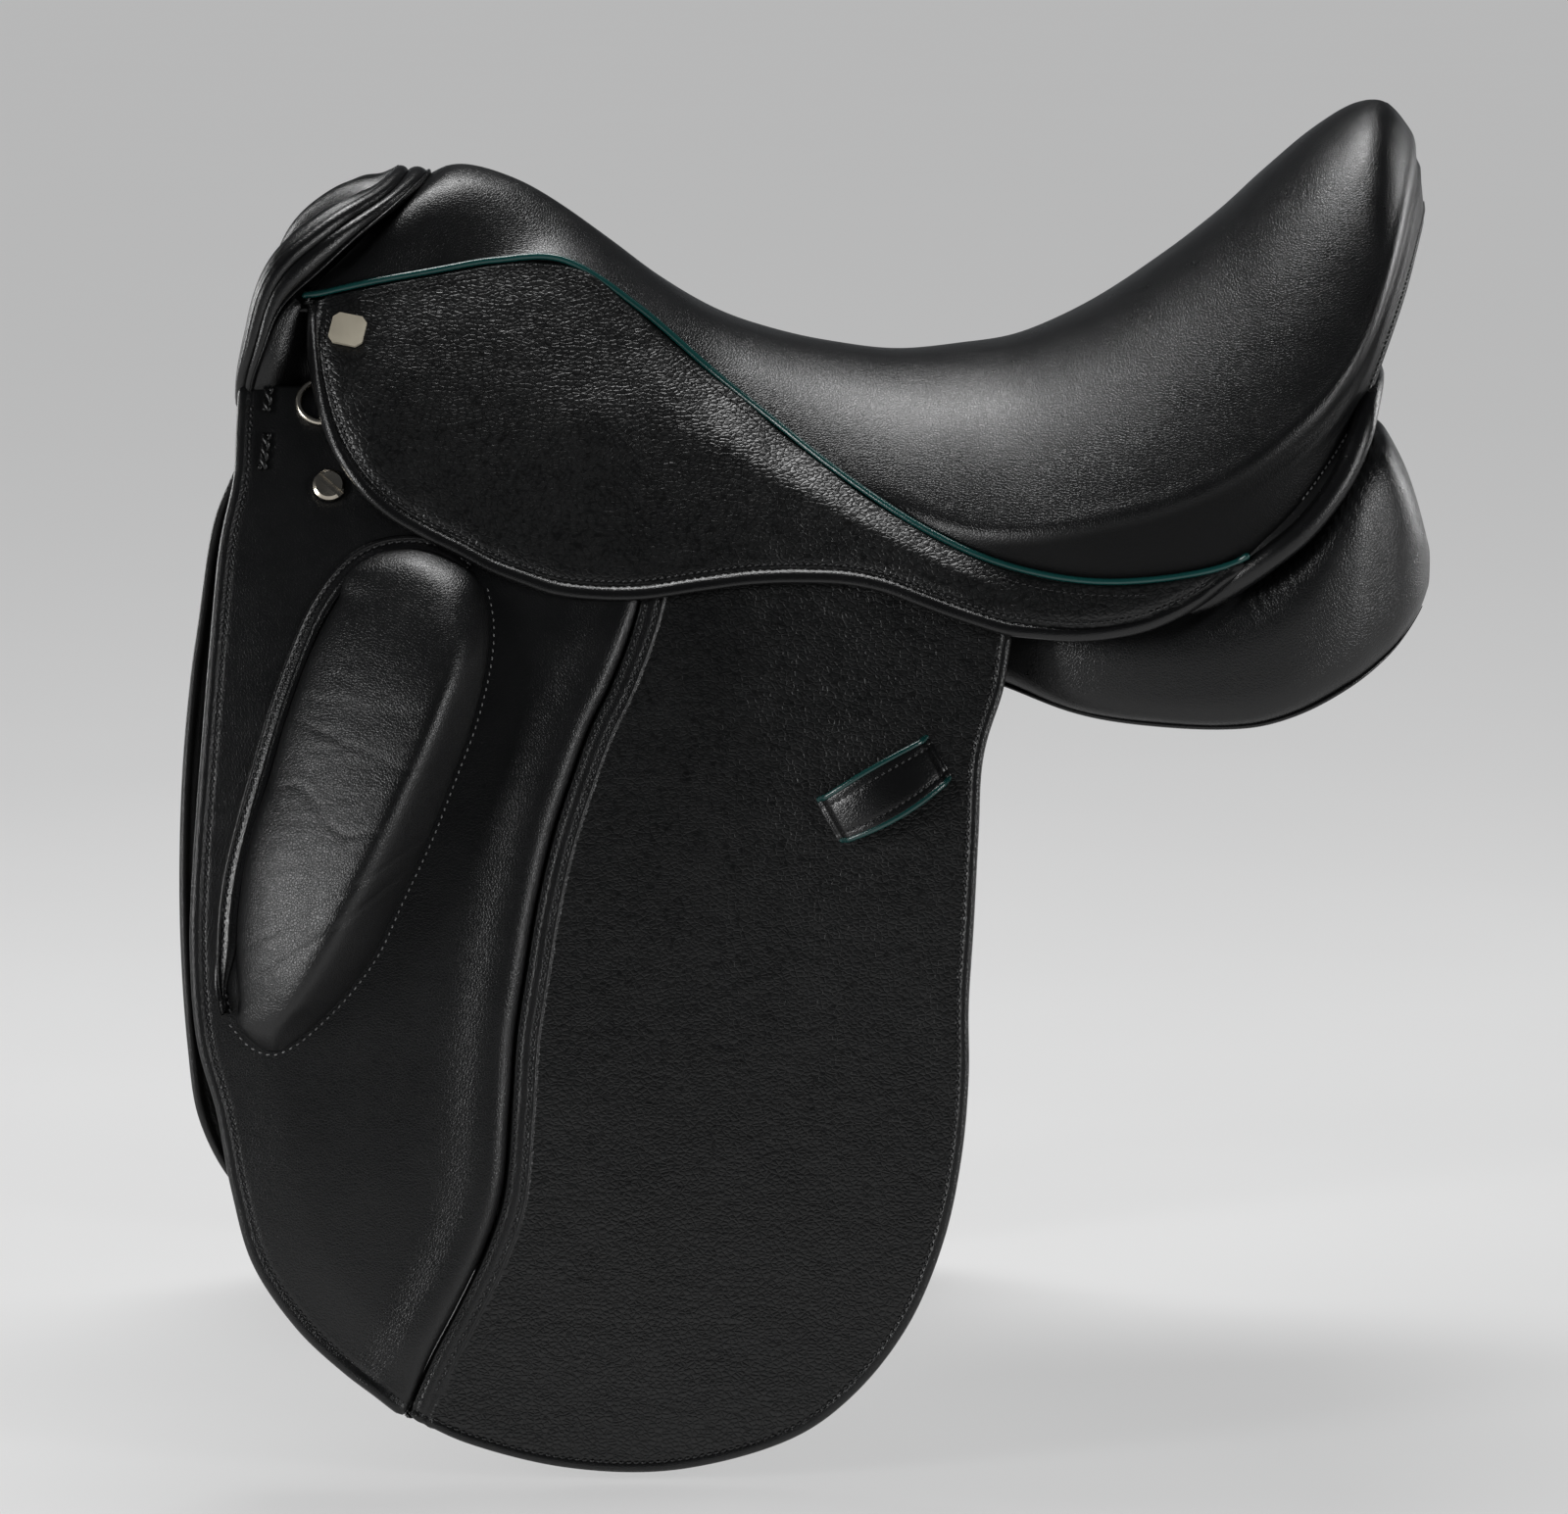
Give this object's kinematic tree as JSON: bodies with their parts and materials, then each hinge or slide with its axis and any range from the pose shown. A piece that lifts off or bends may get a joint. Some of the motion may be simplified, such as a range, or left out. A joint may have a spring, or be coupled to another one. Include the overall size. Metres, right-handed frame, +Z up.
{
  "type": "dressage saddle",
  "caption": "Dressage saddle with a deep dished seat, long straight flaps, outside thigh blocks, skirts, flocked panels, girth billets, stirrup bars and D rings.",
  "frame": {"origin": "middle of the channel between the panels, under the seat, where a rack's ridge or the horse's spine lies", "axes": "+Z up, +X from the head to the cantle, -Y to the near (left) side"},
  "size_m": [0.515, 0.38, 0.5438],
  "materials": {
    "tree_beech": "laminated beech with a lacquered face",
    "steel": "blued spring steel",
    "forged_steel": "forged steel, satin",
    "nickel": "warm nickel plate",
    "plate_metal": "plain polished plate",
    "webbing": "woven web",
    "foam": "latex foam",
    "wool_flock": "carded wool",
    "teal_piping": "dyed leather cord",
    "grained_leather": "tumbled grain, satin",
    "strap_leather": "waxed strap leather",
    "edge_leather": "rolled and polished edge",
    "smooth_leather": "fine grained calf, satin"
  },
  "bodies": {
    "root": {"tree": "tree_beech", "head_plate": "steel", "head_rivets": "steel", "tree_springs": "steel", "seat_web": "webbing", "seat_foam": "foam", "seat_cover": "smooth_leather", "seat_piping": "teal_piping", "cantle_facing": "smooth_leather", "rear_roll": "edge_leather", "pommel_roll": "edge_leather", "gullet_lining": "smooth_leather", "left_panel": "smooth_leather", "right_panel": "smooth_leather", "panel_flock": "wool_flock", "left_sweat_flap": "strap_leather", "right_sweat_flap": "strap_leather", "left_stirrup_bar": "forged_steel", "right_stirrup_bar": "forged_steel", "bar_rivets": "steel", "bar_catch_pins": "steel", "left_skirt_top": "grained_leather", "right_skirt_top": "grained_leather", "left_flap_top": "smooth_leather", "right_flap_top": "smooth_leather", "d_ring_screws": "nickel", "flap_screws": "nickel", "billet_webs": "webbing", "panel_laces": "strap_leather"},
    "left_flap": {"left_flap_front": "smooth_leather", "left_flap_rear": "grained_leather", "left_flap_welt": "edge_leather", "left_block_cover": "smooth_leather", "left_block_core": "foam", "left_keeper": "grained_leather", "left_keeper_piping": "teal_piping"},
    "left_skirt": {"left_skirt": "grained_leather", "left_nameplate": "plate_metal"},
    "left_catch": {"left_bar_catch": "forged_steel"},
    "left_ring": {"left_d_ring": "nickel"},
    "left_front_billet": {"left_front_billet": "strap_leather"},
    "left_rear_billet": {"left_rear_billet": "strap_leather"},
    "right_flap": {"right_flap_front": "smooth_leather", "right_flap_rear": "grained_leather", "right_flap_welt": "edge_leather", "right_block_cover": "smooth_leather", "right_block_core": "foam", "right_keeper": "grained_leather", "right_keeper_piping": "teal_piping"},
    "right_skirt": {"right_skirt": "grained_leather", "right_nameplate": "plate_metal"},
    "right_catch": {"right_bar_catch": "forged_steel"},
    "right_ring": {"right_d_ring": "nickel"},
    "right_front_billet": {"right_front_billet": "strap_leather"},
    "right_rear_billet": {"right_rear_billet": "strap_leather"}
  },
  "joints": [
    {"name": "left_flap_lift", "type": "hinge", "parent": "root", "child": "left_flap", "pos_m": [-0.068, -0.1215, 0.0025], "axis": [-0.9317, 0.1729, 0.3194], "range_deg": [0, 75]},
    {"name": "left_skirt_lift", "type": "hinge", "parent": "root", "child": "left_skirt", "pos_m": [-0.042, -0.1045, 0.06875], "axis": [-0.9128, 0.1926, 0.3601], "range_deg": [0, 70]},
    {"name": "left_catch_flip", "type": "hinge", "parent": "root", "child": "left_catch", "pos_m": [-0.078, -0.0774, 0.066], "axis": [0, -1, 0], "range_deg": [0, 80]},
    {"name": "left_ring_swing", "type": "hinge", "parent": "root", "child": "left_ring", "pos_m": [-0.172, -0.07259, 0.084], "axis": [0, -0.8387, 0.5446], "range_deg": [-20, 20]},
    {"name": "left_front_billet_swing", "type": "hinge", "parent": "root", "child": "left_front_billet", "pos_m": [-0.104, -0.10187, 0.014], "axis": [0, 1, 0], "range_deg": [-7, 7]},
    {"name": "left_rear_billet_swing", "type": "hinge", "parent": "root", "child": "left_rear_billet", "pos_m": [-0.012, -0.10337, 0.014], "axis": [0, 1, 0], "range_deg": [-7, 7]},
    {"name": "right_flap_lift", "type": "hinge", "parent": "root", "child": "right_flap", "pos_m": [-0.068, 0.1215, 0.0025], "axis": [0.9317, 0.1729, -0.3194], "range_deg": [0, 75]},
    {"name": "right_skirt_lift", "type": "hinge", "parent": "root", "child": "right_skirt", "pos_m": [-0.042, 0.1045, 0.06875], "axis": [0.9128, 0.1926, -0.3601], "range_deg": [0, 70]},
    {"name": "right_catch_flip", "type": "hinge", "parent": "root", "child": "right_catch", "pos_m": [-0.078, 0.0774, 0.066], "axis": [0, -1, 0], "range_deg": [0, 80]},
    {"name": "right_ring_swing", "type": "hinge", "parent": "root", "child": "right_ring", "pos_m": [-0.172, 0.07259, 0.084], "axis": [0, 0.8387, 0.5446], "range_deg": [-20, 20]},
    {"name": "right_front_billet_swing", "type": "hinge", "parent": "root", "child": "right_front_billet", "pos_m": [-0.104, 0.10187, 0.014], "axis": [0, 1, 0], "range_deg": [-7, 7]},
    {"name": "right_rear_billet_swing", "type": "hinge", "parent": "root", "child": "right_rear_billet", "pos_m": [-0.012, 0.10337, 0.014], "axis": [0, 1, 0], "range_deg": [-7, 7]}
  ]
}
